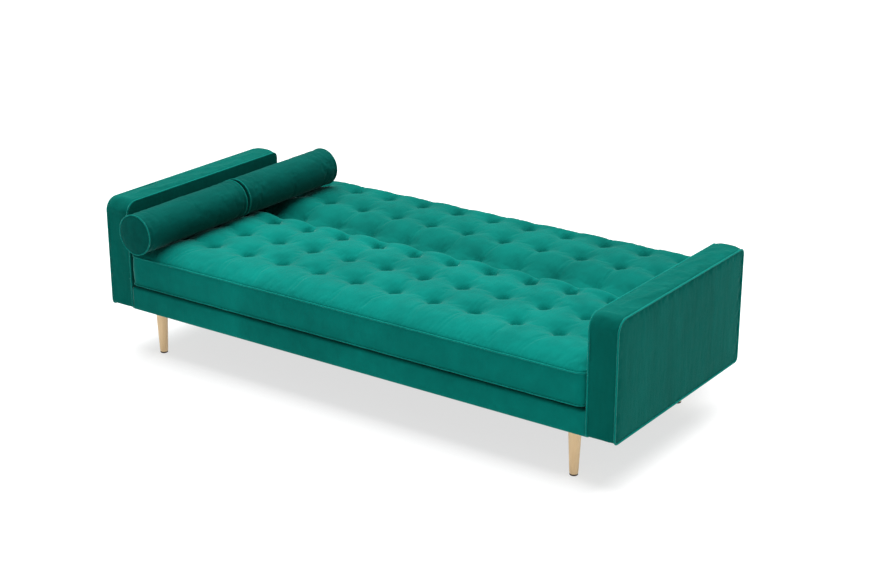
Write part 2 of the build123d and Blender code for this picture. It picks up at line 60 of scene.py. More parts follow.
# ------------------------------------------------------------------ materials and meshes
# What every section below uses to write its shader maths and to make its meshes.
class Value:
    """A shader socket that can be added to, multiplied and so on."""

    def __init__(self, finish, socket):
        self.finish = finish
        self.socket = socket

    def maths(self, operation, *values):
        node = self.finish.node("ShaderNodeMath", {"operation": operation}, dict(enumerate(values)))
        return Value(self.finish, node.outputs[0])

    def __add__(self, other):
        return self.maths("ADD", self, other)

    def __sub__(self, other):
        return self.maths("SUBTRACT", self, other)

    def __rsub__(self, other):
        return self.maths("SUBTRACT", other, self)

    def __mul__(self, other):
        return self.maths("MULTIPLY", self, other)

    def __pow__(self, other):
        return self.maths("POWER", self, other)

    __radd__ = __add__
    __rmul__ = __mul__


class Finish:
    """A material under construction, with one principled shader."""

    def __init__(self, name, **constants):
        self.material = bpy.data.materials.new(name)
        self.material.use_nodes = True
        self.tree = self.material.node_tree
        self.shader = self.tree.nodes["Principled BSDF"]
        for socket, value in constants.items():
            self.shader.inputs[socket.replace("_", " ")].default_value = value

    def node(self, kind, settings=None, inputs=None):
        """Add one node: its settings first, then the values or links of its sockets."""
        node = self.tree.nodes.new(kind)
        for key, value in (settings or {}).items():
            setattr(node, key, value)
        for key, value in (inputs or {}).items():
            self.join(value, node.inputs[key])
        return node

    def join(self, value, socket):
        """Set a socket to a number, a colour or another socket."""
        if isinstance(value, Value):
            self.tree.links.new(value.socket, socket)
        else:
            socket.default_value = value

    def place(self, scale=(1.0, 1.0, 1.0)):
        """Object coordinates, stretched."""
        coordinates = self.node("ShaderNodeTexCoord").outputs["Object"]
        inputs = {"Vector": Value(self, coordinates), "Scale": scale}
        return Value(self, self.node("ShaderNodeMapping", None, inputs).outputs["Vector"])

    def noise(self, scale, detail=2.0, vector=None, roughness=0.5, distortion=0.0):
        """Soft noise, from 0 to 1."""
        inputs = {"Vector": vector or self.place(), "Scale": scale, "Detail": detail,
                  "Roughness": roughness, "Distortion": distortion}
        return Value(self, self.node("ShaderNodeTexNoise", None, inputs).outputs["Fac"])

    def between(self, low, high, value):
        """Spread a narrow band of a value over 0 to 1."""
        inputs = {"Value": value, "From Min": low, "From Max": high}
        return Value(self, self.node("ShaderNodeMapRange", None, inputs).outputs["Result"])

    def mixed(self, first, second, share, blend="MIX"):
        """Blend two colours by a value."""
        settings = {"data_type": "RGBA", "blend_type": blend}
        node = self.node("ShaderNodeMix", settings, {0: share, 6: first, 7: second})
        return Value(self, node.outputs[2])

    def colour(self, value):
        self.join(value, self.shader.inputs["Base Color"])

    def roughness(self, value):
        self.join(value, self.shader.inputs["Roughness"])

    def bumps(self, *layers):
        """Stack bump layers, each a height value and its distance in metres."""
        normal = None
        for height, distance in layers:
            inputs = {"Height": height, "Distance": distance, "Strength": 1.0}
            if normal:
                inputs["Normal"] = normal
            normal = Value(self, self.node("ShaderNodeBump", None, inputs).outputs["Normal"])
        self.join(normal, self.shader.inputs["Normal"])


def new_mesh(name, points, faces, material, smooth=True):
    """A mesh object at the origin, with its place in its points."""
    mesh = bpy.data.meshes.new(name)
    mesh.from_pydata([tuple(p) for p in points], [], faces)
    mesh.polygons.foreach_set("use_smooth", [smooth] * len(mesh.polygons))
    mesh.materials.append(material)
    mesh.update()
    piece = bpy.data.objects.new(name, mesh)
    scene.collection.objects.link(piece)
    return piece


def points_of(mesh):
    """A mesh's points, one row each."""
    flat = np.empty(len(mesh.vertices) * 3)
    mesh.vertices.foreach_get("co", flat)
    return flat.reshape(-1, 3)


def loft(rings, count, turned):
    """Faces over rings of points, with both ends closed, and turned inside out if asked."""
    index = np.arange(rings * count).reshape(rings, count)
    faces = []
    for a, b in zip(index[:-1], index[1:]):
        faces += np.stack([a, np.roll(a, -1), np.roll(b, -1), b], -1).tolist()
    faces.append(index[0][::-1].tolist())
    faces.append(index[-1].tolist())
    return [face[::-1] for face in faces] if turned else faces


# ------------------------------------------------------------------ floor
# A plain pale studio floor that runs past everything the camera sees.  It gives off some light of
# its own, which keeps the shadow under the sofa bed pale.
floor_finish = Finish("studio_floor", Roughness=0.75, Specular_IOR_Level=0.1,
                      Emission_Color=(1, 1, 1, 1), Emission_Strength=0.68)
floor_shade = floor_finish.noise(0.6)
floor_finish.colour(floor_finish.mixed((0.36, 0.36, 0.362, 1), (0.38, 0.38, 0.38, 1), floor_shade))
floor_reach = 30.0
floor_corners = [(-1, -1), (1, -1), (1, 1), (-1, 1)]
floor = new_mesh("floor", [(x * floor_reach, y * floor_reach, 0) for x, y in floor_corners],
                 [(0, 1, 2, 3)], floor_finish.material, smooth=False)

# ------------------------------------------------------------------ studio light
# A very wide, soft light from overhead, a little to the left and behind, in a pale room.
world = bpy.data.worlds.new("room")
world.use_nodes = True
world.node_tree.nodes["Background"].inputs["Color"].default_value = (0.97, 0.985, 1.0, 1)
world.node_tree.nodes["Background"].inputs["Strength"].default_value = 0.30
scene.world = world
scene.view_settings.view_transform = "Standard"

light_from = Vector((-0.14, 0.26, 1.0))
sky_light = bpy.data.lights.new("overhead_light", "SUN")
sky_light.energy = 6.1
sky_light.angle = math.radians(70)
overhead = bpy.data.objects.new("overhead_light", sky_light)
overhead.rotation_euler = light_from.to_track_quat("Z", "Y").to_euler()
scene.collection.objects.link(overhead)

# ------------------------------------------------------------------ velvet
# Short cut-pile polyester velvet.  The pile catches light at a grazing angle, and shades where it
# has been brushed one way or the other.
def velvet(name, deep, pale, nap=(1.0, 1.0, 1.0), sheen=0.5):
    """Cut-pile cloth, with brushed patches and a fine pile."""
    cloth = Finish(name, Roughness=0.9, Specular_IOR_Level=0.03, Sheen_Weight=sheen,
                   Sheen_Roughness=0.26, Sheen_Tint=(0.40, 0.84, 0.76, 1))
    patches = cloth.noise(3.2, 3.0, cloth.place(nap), 0.55, 0.6)
    brushed = cloth.noise(22.0, 3.0, cloth.place(nap))
    pile = cloth.noise(900.0, 2.0)
    shade = cloth.between(0.3, 0.7, patches * 0.7 + brushed * 0.3)
    cloth.colour(cloth.mixed(deep, pale, shade * 0.8 + pile * 0.2))
    cloth.roughness(0.84 + 0.12 * pile)
    creases = cloth.noise(9.0, 3.0, cloth.place((9.0, 1.0, 3.0)), 0.5, 0.4)
    cloth.bumps((creases, 0.0018), (brushed, 0.0012), (cloth.noise(160.0, 3.0), 0.0004), (pile, 0.0004))
    return cloth.material


green_velvet = velvet("green_velvet", (0.0005, 0.112, 0.092, 1), (0.001, 0.190, 0.156, 1), sheen=0.66)
# The back's velvet is a darker copy of the seat's velvet: painted shade.
shaded_back_velvet = velvet("shaded_back_velvet", (0.0005, 0.092, 0.075, 1), (0.001, 0.160, 0.130, 1), sheen=0.44)
# The arms' velvet is a darker copy of the seat's velvet: painted shade on the arms' sides.
shaded_arm_velvet = velvet("shaded_arm_velvet", (0.0004, 0.080, 0.064, 1), (0.0007, 0.122, 0.099, 1),
                    nap=(2.2, 2.2, 0.5), sheen=0.24)
# The bolsters' velvet is a darker copy still of the same velvet: painted shade.
shaded_bolster_velvet = velvet("shaded_bolster_velvet", (0.0003, 0.052, 0.043, 1), (0.0006, 0.092, 0.076, 1),
                        nap=(2.0, 0.7, 2.0), sheen=0.26)
# The piping's velvet is a lighter copy of the seat's velvet: a painted highlight along the seams.
highlighted_piping_velvet = velvet("highlighted_piping_velvet", (0.0010, 0.130, 0.108, 1), (0.002, 0.215, 0.178, 1), sheen=0.8)

# ------------------------------------------------------------------ seat cushion
# A foam slab in a bordered velvet cover: piping at the top and bottom of the border, and buttons
# pulled through to the deck on a square grid, which draw the top into plump squares.
seat_sinks = (0.041, 0.041, 0.041)      # how deep each row of buttons is pulled, front row first
back_sinks = (0.014, 0.036, 0.036)
button_columns = 12
button_rows = 3
button_shape = (22, 12)                 # a button's radius to its height
button_hold = 0.0095                    # flat under a button
button_grip = 0.013                     # the cover is held within this distance of a button
funnel_width = 0.0125                   # the steep hollow round a button, then the wide one
hollow_width = 0.045
valley_depth = 0.0030                   # the soft valleys that join the buttons
valley_fade_x = 0.05
valley_fade_y = 0.06
pleat_width = 0.0055
pleat_sway = 0.006
edge_drop = 0.026                       # from a cushion's flat top to its upper piping
border_rows = 12
hem_turns = ((0.002, 0.8), (0.008, 0.4), (0.020, 0.0))      # how far in, and the lift that is left
pad_step = 0.0062
cushion_fill = {"pressure": 3.0, "frames": 14, "cap": 0.006, "slack": 0.02}


def button_grid(node):
    """The middles of a node's buttons, from its corners: columns in x, then rows in y."""
    low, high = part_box(node)
    radius = (high.z - low.z) * button_shape[0] / button_shape[1]
    xs = np.linspace(low.x + radius, high.x - radius, button_columns)
    ys = np.linspace(low.y + radius, high.y - radius, button_rows)
    return xs, ys


def rounded_grid(half_x, y0, y1, near_radius, far_radius, step):
    """A level grid over a rectangle, with its corners drawn in to a radius."""
    nx = round(2 * half_x / step)
    ny = round((y1 - y0) / step)
    x, y = np.meshgrid(np.linspace(-half_x, half_x, nx + 1), np.linspace(y0, y1, ny + 1), indexing="ij")
    middle = (y0 + y1) / 2
    half_y = (y1 - y0) / 2
    radius = np.where(y > middle, far_radius, near_radius)
    dx = np.maximum(np.abs(x) - (half_x - radius), 0)
    dy = np.maximum(np.abs(y - middle) - (half_y - radius), 0)
    span = np.hypot(dx, dy)
    draw = np.where(span > 0, np.maximum(dx, dy) / np.maximum(span, 1e-9), 1.0)
    x = x - np.sign(x) * dx * (1 - draw)
    y = y - np.sign(y - middle) * dy * (1 - draw)
    return x, y


def ripple(values, seed, scale):
    """Smooth one-dimensional noise from a few sines."""
    draws = np.random.default_rng(seed)
    total = np.zeros_like(values)
    for k in range(7):
        pitch = scale * (0.6 + 0.35 * k)
        total += np.sin(values * 2 * math.pi / pitch + draws.uniform(0, 6.28)) * draws.uniform(0.5, 1.0)
    return total / 4


def roll_over(distance, width, power=2.0):
    """How far an edge has risen, from 0 at the edge to 1 at its full height."""
    share = np.clip(distance / width, 0, 1)
    return (1 - (1 - share) ** power) ** (1 / power)


def within(values, marks, fade):
    """1 between the first and last mark, fading to 0 past them."""
    return (np.clip((values - marks[0] + fade) / fade, 0, 1)
            * np.clip((marks[-1] + fade - values) / fade, 0, 1))


def tufts(x, y, xs, ys, sinks):
    """How far the buttons pull the top down: a funnel at each, and a soft valley between."""
    pull = np.zeros_like(x)
    for row, by in enumerate(ys):
        for column, bx in enumerate(xs):
            twist = 1 + 0.07 * math.sin(2.1 * column + 1.3 * row)
            reach = np.maximum(np.hypot((x - bx) * twist, (y - by) / twist) - button_hold, 0)
            funnel = 0.90 * np.exp(-reach / funnel_width) + 0.10 * np.exp(-(reach / hollow_width) ** 2)
            pull = np.maximum(pull, sinks[row] * funnel)
    pitch_x = xs[1] - xs[0]
    pitch_y = ys[1] - ys[0]
    a = np.sin(math.pi * (x - xs[0]) / pitch_x) ** 2
    b = np.sin(math.pi * (y - ys[0]) / pitch_y) ** 2
    across = (1 - a) ** 3 * within(y, ys, valley_fade_y)
    along = (1 - b) ** 3 * within(x, xs, valley_fade_x)
    return pull + valley_depth * (1 - (1 - across) * (1 - along))


def pleats(x, y, xs, edge_y, button_y, depth):
    """Shallow folds that run from a row of buttons out to an edge."""
    fold = np.zeros_like(x)
    share = np.clip((y - button_y) / (edge_y - button_y), 0, 1)
    along = (share > 0) * (share < 1) * np.sin(math.pi * np.clip(share * 0.9 + 0.1, 0, 1)) ** 0.7
    draws = np.random.default_rng(11)
    for bx in xs:
        lean = draws.uniform(-0.035, 0.035)
        for offset in (0.0, draws.uniform(0.012, 0.02)):
            line = bx + offset + lean * share + pleat_sway * np.sin(5 * share + bx * 9)
            fold += np.exp(-((x - line) / pleat_width) ** 2) * along * draws.uniform(0.5, 1.0)
    return depth * fold


def pad_mesh(name, x, top, y, base_z, lift, bulge, material):
    """Close a crowned top with a border down to a flat underside, its lower edge lifted a little."""
    nx, ny = x.shape
    points = [np.stack([x, y, top], -1).reshape(-1, 3)]
    index = np.arange(nx * ny).reshape(nx, ny)
    quads = np.stack([index[:-1, :-1], index[1:, :-1], index[1:, 1:], index[:-1, 1:]], -1)
    faces = quads.reshape(-1, 4).tolist()
    ring = np.concatenate([index[:-1, 0], index[-1, :-1], index[:0:-1, -1], index[0, :0:-1]])
    rim = points[0][ring]
    outward = np.stack([np.roll(rim[:, 1], -1) - np.roll(rim[:, 1], 1),
                        np.roll(rim[:, 0], 1) - np.roll(rim[:, 0], -1)], -1)
    outward /= np.linalg.norm(outward, axis=1)[:, None]
    above = ring
    count = len(ring)
    steps = [(row / border_rows, bulge * math.sin(math.pi * row / border_rows), lift)
             for row in range(1, border_rows + 1)]
    steps += [(1.0, -inward, left * lift) for inward, left in hem_turns]
    for row, (share, push, rise) in enumerate(steps):
        level = rim[:, 2] + (base_z + rise - rim[:, 2]) * share
        points.append(np.column_stack([rim[:, :2] + outward * push, level]))
        below = nx * ny + row * count + np.arange(count)
        faces += np.stack([above, below, np.roll(below, -1), np.roll(above, -1)], -1).tolist()
        above = below
    front = above[:nx]
    right = above[nx:nx + ny - 2][::-1]
    rear = above[nx + ny - 2:2 * nx + ny - 2][::-1]
    left = above[2 * nx + ny - 2:][::-1]
    faces += np.stack([front[1:-2], rear[1:-2], rear[2:-1], front[2:-1]], -1).tolist()
    faces.append([front[0], *left, rear[0], rear[1], front[1]])
    faces.append([front[-2], rear[-2], rear[-1], *right, front[-1]])
    return new_mesh(name, np.concatenate(points), [[int(i) for i in face] for face in faces], material)


def settle(piece, held, pressure, frames, cap, slack):
    """Let a cover fill out over its stuffing, with some points held and none moved past the cap."""
    mesh = piece.data
    before = points_of(mesh)
    group = piece.vertex_groups.new(name="held")
    for level in np.unique(np.round(held, 2)):
        if level > 0:
            group.add(np.flatnonzero(np.round(held, 2) == level).tolist(), float(level), "REPLACE")
    cloth = piece.modifiers.new("cover", "CLOTH")
    cloth.settings.quality = 4
    cloth.settings.mass = 0.25
    cloth.settings.tension_stiffness = 12
    cloth.settings.compression_stiffness = 8
    cloth.settings.shear_stiffness = 5
    cloth.settings.bending_stiffness = 0.4
    cloth.settings.air_damping = 2
    cloth.settings.use_pressure = True
    cloth.settings.uniform_pressure_force = pressure
    cloth.settings.shrink_min = -slack
    cloth.settings.shrink_max = -slack
    cloth.settings.vertex_group_mass = "held"
    cloth.settings.effector_weights.gravity = 0
    cloth.collision_settings.use_collision = False
    cloth.point_cache.frame_start = 1
    cloth.point_cache.frame_end = frames
    for step in range(1, frames + 1):
        scene.frame_set(step)
    settled = piece.evaluated_get(bpy.context.evaluated_depsgraph_get()).data
    after = points_of(settled)
    piece.modifiers.remove(cloth)
    scene.frame_set(1)
    move = after - before
    reach = np.linalg.norm(move, axis=1)[:, None]
    move *= cap * np.tanh(reach / cap) / np.maximum(reach, 1e-9)
    mesh.vertices.foreach_set("co", (before + move).ravel())
    mesh.update()


def finer(piece):
    """One level of subdivision on a finished piece."""
    smoother = piece.modifiers.new("finer", "SUBSURF")
    smoother.levels = 1
    smoother.render_levels = 1


seat_low, seat_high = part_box("seat_cushion")
seat_half = seat_high.x - 0.0005
seat_button_xs, seat_button_ys = button_grid("seat_buttons")
seat_edge_z = seat_high.z - edge_drop
seat_crown = 0.004
seat_near_corner = 0.036
seat_far_corner = 0.02
seat_front_roll = 0.085                 # how far in from an edge its roll reaches
seat_side_roll = 0.05
seat_rear_roll = 0.026
seat_rear_swell = 0.012                 # the rear roll is wider at the buttons
seat_crease_depth = 0.032               # where the seat dips to meet the back
seat_front_plump = 0.004
seat_rear_plump = 0.004
seat_lift = 0.008                       # the lower edge, above the rail
bolster_low, bolster_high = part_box("bolster_front")
bolsters_end_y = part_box("bolster_rear")[1].y
bolster_radius = (bolster_high.x - bolster_low.x) / 2
bolster_x = (bolster_high.x + bolster_low.x) / 2
bolster_z = (bolster_high.z + bolster_low.z) / 2
bolster_gap = 0.0015


def under_bolsters(x, y, z):
    """Press a top down where a bolster lies on it."""
    across = np.clip(np.abs(x - bolster_x) / bolster_radius, 0, 1)
    belly = bolster_z - bolster_radius * np.sqrt(1 - across ** 2) - bolster_gap
    along = (y > bolster_low.y) & (y < bolsters_end_y)
    return np.where(along & (across < 0.98), np.minimum(z, belly), z)


def seat_top(x, y):
    """Heights of the seat's top."""
    side = np.minimum(seat_half - np.abs(x), 1.0)
    front = y - seat_low.y
    rear = seat_high.y - y
    height = seat_high.z + seat_crown - seat_edge_z
    z = (seat_edge_z + height * roll_over(front, seat_front_roll, 1.7)
         * roll_over(side, seat_side_roll, 1.8))
    pitch = seat_button_xs[1] - seat_button_xs[0]
    crest = seat_rear_roll + seat_rear_swell * np.cos(math.pi * (x - seat_button_xs[0]) / pitch) ** 2
    z = z - (1 - roll_over(rear, crest, 2.2)) * (height + seat_crease_depth)
    z = z + seat_front_plump * np.sin(math.pi * np.clip(front / 0.2, 0, 1))
    z = z + seat_rear_plump * np.exp(-((rear - 0.04) / 0.03) ** 2)
    z = z - tufts(x, y, seat_button_xs, seat_button_ys, seat_sinks)
    z = z - pleats(x, y, seat_button_xs, seat_low.y, seat_button_ys[0], 0.0045)
    gather = np.exp(-front / 0.035) * (front > 0.002)
    return z + 0.0008 * ripple(x, 3, 0.03) * gather


seat_x, seat_y = rounded_grid(seat_half, seat_low.y + 0.001, seat_high.y,
                              seat_near_corner, seat_far_corner, pad_step)
seat = pad_mesh("seat_cushion_cover", seat_x, seat_top(seat_x, seat_y), seat_y, seat_low.z + 0.001,
                seat_lift, 0.003, green_velvet)


def held_points(piece, top_count, shape, xs, ys):
    """What holds a cushion's cover: its buttons, its border and its outer edge."""
    points = points_of(piece.data)
    held = np.ones(len(points))
    top = points[:top_count]
    nearest = np.full(top_count, np.inf)
    for by in ys:
        for bx in xs:
            nearest = np.minimum(nearest, np.hypot(top[:, 0] - bx, top[:, 1] - by))
    grip = np.where(nearest < button_grip, 1.0, 0.0)
    i, j = np.divmod(np.arange(top_count), shape[1])
    edge = np.minimum(np.minimum(i, shape[0] - 1 - i), np.minimum(j, shape[1] - 1 - j))
    grip = np.maximum(grip, np.clip(1 - edge / 3, 0, 1))
    held[:top_count] = grip
    return held


def press_top(piece, top_count):
    """Keep a cushion's top out of the bolsters."""
    points = points_of(piece.data)
    points[:top_count, 2] = under_bolsters(*points[:top_count].T)
    piece.data.vertices.foreach_set("co", points.ravel())
    piece.data.update()


seat_held = held_points(seat, seat_x.size, seat_x.shape, seat_button_xs, seat_button_ys)
settle(seat, seat_held, **cushion_fill)
press_top(seat, seat_x.size)
finer(seat)
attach(seat, "frame")
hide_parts("seat_cushion")

# ------------------------------------------------------------------ piping
# A cord covered in a bias strip of the same velvet, sewn into the seam between two panels.
cord_radius = 0.0026
arm_cord_radius = 0.0031
seam_step = 0.006
seam_set_in = 0.0006


def geometry_tree(name, sizes):
    """An empty geometry tree with named sizes, from its input to its output."""
    tree = bpy.data.node_groups.new(name, "GeometryNodeTree")
    tree.interface.new_socket("Geometry", in_out="INPUT", socket_type="NodeSocketGeometry")
    for label, value in sizes.items():
        kind = "NodeSocketInt" if isinstance(value, int) else "NodeSocketFloat"
        tree.interface.new_socket(label, in_out="INPUT", socket_type=kind).default_value = value
    tree.interface.new_socket("Material", in_out="INPUT", socket_type="NodeSocketMaterial")
    tree.interface.new_socket("Geometry", in_out="OUTPUT", socket_type="NodeSocketGeometry")
    return tree


def tree_node(tree, kind, settings=None, inputs=None):
    """Add a node to a geometry tree."""
    node = tree.nodes.new(kind)
    for key, value in (settings or {}).items():
        setattr(node, key, value)
    for key, value in (inputs or {}).items():
        if isinstance(value, bpy.types.NodeSocket):
            tree.links.new(value, node.inputs[key])
        else:
            node.inputs[key].default_value = value
    return node


def end_tree(tree, start, geometry):
    """Finish a tree: real meshes, smooth, with the material."""
    real = tree_node(tree, "GeometryNodeRealizeInstances", None, {"Geometry": geometry})
    smooth = tree_node(tree, "GeometryNodeSetShadeSmooth", None, {"Geometry": real.outputs[0]})
    material = {"Geometry": smooth.outputs[0], "Material": start.outputs["Material"]}
    painted = tree_node(tree, "GeometryNodeSetMaterial", None, material)
    tree_node(tree, "NodeGroupOutput", None, {"Geometry": painted.outputs[0]})


def grow(name, seed_object, tree, sizes, material):
    """Run a tree on an object and keep the result as a plain mesh."""
    modifier = seed_object.modifiers.new(tree.name, "NODES")
    modifier.node_group = tree
    for item in tree.interface.items_tree:
        if item.in_out == "INPUT" and item.name in sizes:
            modifier[item.identifier] = sizes[item.name]
        if item.in_out == "INPUT" and item.name == "Material":
            modifier[item.identifier] = material
    graph = bpy.context.evaluated_depsgraph_get()
    graph.update()
    mesh = bpy.data.meshes.new_from_object(seed_object.evaluated_get(graph), depsgraph=graph)
    mesh.name = name
    bpy.data.objects.remove(seed_object)
    piece = bpy.data.objects.new(name, mesh)
    scene.collection.objects.link(piece)
    return piece


piping_tree = geometry_tree("sew_piping", {"Radius": 0.0025, "Sides": 10})
piping_start = tree_node(piping_tree, "NodeGroupInput")
piping_section = tree_node(piping_tree, "GeometryNodeCurvePrimitiveCircle", None, {
    "Resolution": piping_start.outputs["Sides"], "Radius": piping_start.outputs["Radius"]})
piping_tube = tree_node(piping_tree, "GeometryNodeCurveToMesh", None, {
    "Curve": piping_start.outputs["Geometry"], "Profile Curve": piping_section.outputs[0], "Fill Caps": True})
end_tree(piping_tree, piping_start, piping_tube.outputs[0])


def curve_object(name, lines, closed):
    """Lines of points as curves, to grow something along."""
    curve = bpy.data.curves.new(name, "CURVE")
    curve.dimensions = "3D"
    for line in lines:
        spline = curve.splines.new("POLY")
        spline.points.add(len(line) - 1)
        spline.points.foreach_set("co", np.column_stack([line, np.ones(len(line))]).ravel())
        spline.use_cyclic_u = closed
    path = bpy.data.objects.new(name, curve)
    scene.collection.objects.link(path)
    return path


def piping(name, lines, closed, body, node, radius=cord_radius):
    """Piping along some lines, riding on a body."""
    path = curve_object(name + "_path", lines, closed)
    piece = grow(name, path, piping_tree, {"Radius": radius}, highlighted_piping_velvet)
    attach(piece, body)
    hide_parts(node)


def round_corners(half_x, y0, y1, radius, z):
    """Points round a level rectangle with rounded corners."""
    points = []
    corners = [(half_x, y1, 0), (-half_x, y1, 90), (-half_x, y0, 180), (half_x, y0, 270)]
    for x, y, start in corners:
        cx = x - math.copysign(radius, x)
        cy = y - radius if y == y1 else y + radius
        for k in range(9):
            turn = math.radians(start + 90 * k / 8)
            points.append((cx + radius * math.cos(turn), cy + radius * math.sin(turn), z))
    return resample(np.array(points), seam_step)


def resample(points, step):
    """The same closed line with evenly spaced points."""
    points = np.vstack([points, points[:1]])
    lengths = np.concatenate([[0], np.cumsum(np.linalg.norm(np.diff(points, axis=0), axis=1))])
    count = max(4, round(lengths[-1] / step))
    marks = np.linspace(0, lengths[-1], count + 1)
    return np.column_stack([np.interp(marks, lengths, points[:, k]) for k in range(3)])[:-1]


def sewn_by_hand(line, seed):
    """Give a seam the small unevenness of real sewing."""
    lengths = np.arange(len(line)) * seam_step
    line = line.copy()
    line[:, 2] += 0.0006 * ripple(lengths, seed, 0.09)
    return line


seat_seams = ((seat_edge_z, 21), (seat_low.z + 0.0110, 22))
seat_loops = [sewn_by_hand(round_corners(seat_half - seam_set_in, seat_low.y - 0.0008,
                                         seat_high.y - 0.002, seat_near_corner, z), seed)
              for z, seed in seat_seams]
upper_loop = seat_loops[0]
crease_reach = 0.06
into_crease = np.clip((upper_loop[:, 1] - seat_high.y + crease_reach) / crease_reach, 0, 1)
upper_loop[:, 2] -= into_crease * 0.03
piping("seat_cushion_piping", seat_loops, True, "frame", "seat_piping")

# ------------------------------------------------------------------ buttons
# Domed metal buttons covered in the same velvet, tied through the foam.
button_radius = 0.0108
button_rise = 0.0012
button_tree = geometry_tree("tie_buttons", {"Radius": 0.011, "Dome": 0.42})
button_start = tree_node(button_tree, "NodeGroupInput")
button_ball = tree_node(button_tree, "GeometryNodeMeshUVSphere", None, {
    "Segments": 24, "Rings": 12, "Radius": button_start.outputs["Radius"]})
button_scale = tree_node(button_tree, "ShaderNodeCombineXYZ", None, {
    "X": 1.0, "Y": 1.0, "Z": button_start.outputs["Dome"]})
button_dome = tree_node(button_tree, "GeometryNodeTransform", None, {
    "Geometry": button_ball.outputs["Mesh"], "Scale": button_scale.outputs[0]})
button_points = tree_node(button_tree, "GeometryNodeMeshToPoints", None, {
    "Mesh": button_start.outputs["Geometry"]})
button_copies = tree_node(button_tree, "GeometryNodeInstanceOnPoints", None, {
    "Points": button_points.outputs[0], "Instance": button_dome.outputs[0]})
end_tree(button_tree, button_start, button_copies.outputs[0])
# The buttons' velvet is a darker copy of the seat's velvet: painted shade.
shaded_button_velvet = velvet("shaded_button_velvet", (0.0004, 0.070, 0.057, 1), (0.0008, 0.110, 0.090, 1), sheen=0.2)


def buttons(name, node, body, xs, ys, surface):
    """A button at every place on a grid, sunk in the surface that it holds down."""
    x, y = (grid.ravel() for grid in np.meshgrid(xs, ys))
    places = np.column_stack([x, y, surface(x, y) + button_rise])
    seeds = new_mesh(name + "_places", places, [], shaded_button_velvet)
    piece = grow(name, seeds, button_tree, {"Radius": button_radius}, shaded_button_velvet)
    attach(piece, body)
    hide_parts(node)


buttons("seat_covered_buttons", "seat_buttons", "frame", seat_button_xs, seat_button_ys, seat_top)

# ------------------------------------------------------------------ back cushion
# The back, laid flat: the same tufted foam and velvet drawn down over a wooden frame, with its
# front edge rolled so that it can swing past the seat.
back_low, back_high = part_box("back_cushion")
back_half = back_high.x + 0.0008
back_near_corner = 0.012
back_corner = 0.080
back_button_xs, back_button_ys = button_grid("back_buttons")
back_edge_z = back_high.z - edge_drop
back_crown = 0.002
back_rear_roll = 0.034
back_side_roll = 0.04
back_front_drop = 0.066                 # how far the front edge rolls down towards the crease
back_front_roll = 0.20


def back_top(x, y):
    """Heights of the back's upper face."""
    side = np.minimum(back_half - np.abs(x), 1.0)
    front = y - back_low.y
    rear = back_high.y - y
    height = back_high.z + back_crown - back_edge_z
    z = back_edge_z + height * roll_over(rear, back_rear_roll) * roll_over(side, back_side_roll)
    z = z - back_front_drop * (1 - np.clip(front / back_front_roll, 0, 1)) ** 1.5
    z = z - tufts(x, y, back_button_xs, back_button_ys, back_sinks)
    z = z - pleats(x, y, back_button_xs, back_low.y, back_button_ys[1], 0.004)
    return z - pleats(x, y, back_button_xs, back_high.y, back_button_ys[-1], 0.0015)


back_x, back_y = rounded_grid(back_half, back_low.y + 0.0005, back_high.y - 0.001,
                              back_near_corner, back_corner, pad_step)
back = pad_mesh("back_cushion_cover", back_x, back_top(back_x, back_y), back_y, back_low.z + 0.0002,
                0.0, 0.0025, shaded_back_velvet)
back_held = held_points(back, back_x.size, back_x.shape, back_button_xs, back_button_ys)
settle(back, back_held, **cushion_fill)
press_top(back, back_x.size)
finer(back)
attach(back, "back")
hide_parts("back_cushion")

back_rim = round_corners(back_half - seam_set_in, back_low.y, back_high.y - 0.0015, back_corner, back_edge_z)
back_rim = back_rim[back_rim[:, 1] > back_low.y + 0.05]
back_rim = back_rim[np.argsort(np.arctan2(back_rim[:, 1] - back_low.y, -back_rim[:, 0]))]
piping("back_cushion_piping", [sewn_by_hand(back_rim, 23)], False, "back", "back_piping")
buttons("back_covered_buttons", "back_buttons", "back", back_button_xs, back_button_ys, back_top)

# ------------------------------------------------------------------ arms
# A wooden frame padded with foam: two flat velvet panels joined by a crowned boxing strip, with
# piping in both seams.
arm_round = 0.045
arm_rear_round = 0.020
arm_foot_round = 0.016
arm_step = 0.007
arm_crown = 0.0100                      # how far the boxing swells on top; less on the upright ends
arm_end_share = 0.35
strip_rows = 18
panel_rows = 26
panel_loose_rows = 6                    # the outer panel's rows that the simulation may move
panel_reach = 0.9                       # how near the middle the panel's last row comes
ring_start = 25                         # where round the outline the rings start
arm_fill = {"pressure": 2.0, "frames": 12, "cap": 0.004, "slack": 0.015}


def arm_outline(low, high, inset):
    """Points round the arm's side view, as (y, z), drawn in by an inset."""
    y0, y1, z0, z1 = low.y + inset, high.y - inset, low.z + inset, high.z - inset
    corners = [(y0, z1, 180, 90, arm_round - inset), (y1, z1, 90, 0, arm_rear_round - inset),
               (y1, z0, 0, -90, arm_foot_round - inset), (y0, z0, 270, 180, arm_foot_round - inset)]
    points = []
    for y, z, start, end, radius in corners:
        cy = y + radius if y == y0 else y - radius
        cz = z + radius if z == z0 else z - radius
        for k in range(13):
            turn = math.radians(start + (end - start) * k / 12)
            points.append((0.0, cy + radius * math.cos(turn), cz + radius * math.sin(turn)))
    return resample(np.array(points), arm_step)


